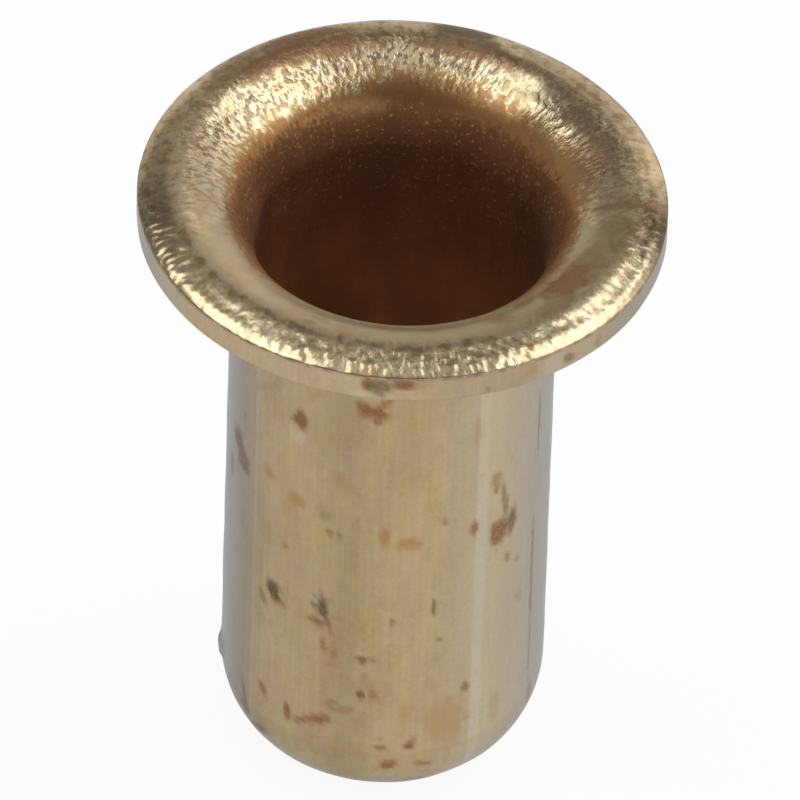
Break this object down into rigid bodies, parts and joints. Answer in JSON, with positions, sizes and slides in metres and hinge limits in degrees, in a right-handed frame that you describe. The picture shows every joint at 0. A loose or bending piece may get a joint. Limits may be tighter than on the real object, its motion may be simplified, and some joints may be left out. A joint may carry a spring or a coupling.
{
  "type": "hollow rivet",
  "caption": "One-piece drawn hollow rivet with a rolled flange round a wide rounded mouth, a thin straight shank and a rounded, pierced tip.",
  "frame": {"origin": "middle of the tip ring, on the plane the rivet stands on", "axes": "+Z along the rivet's axis from the tip to the flange; round about Z, so X and Y are free"},
  "size_m": [0.008, 0.008, 0.0107],
  "materials": {
    "tarnished_brass": "satin drawn brass, dulled and lightly stained"
  },
  "bodies": {
    "root": {"hollow_rivet": "tarnished_brass"}
  },
  "joints": []
}
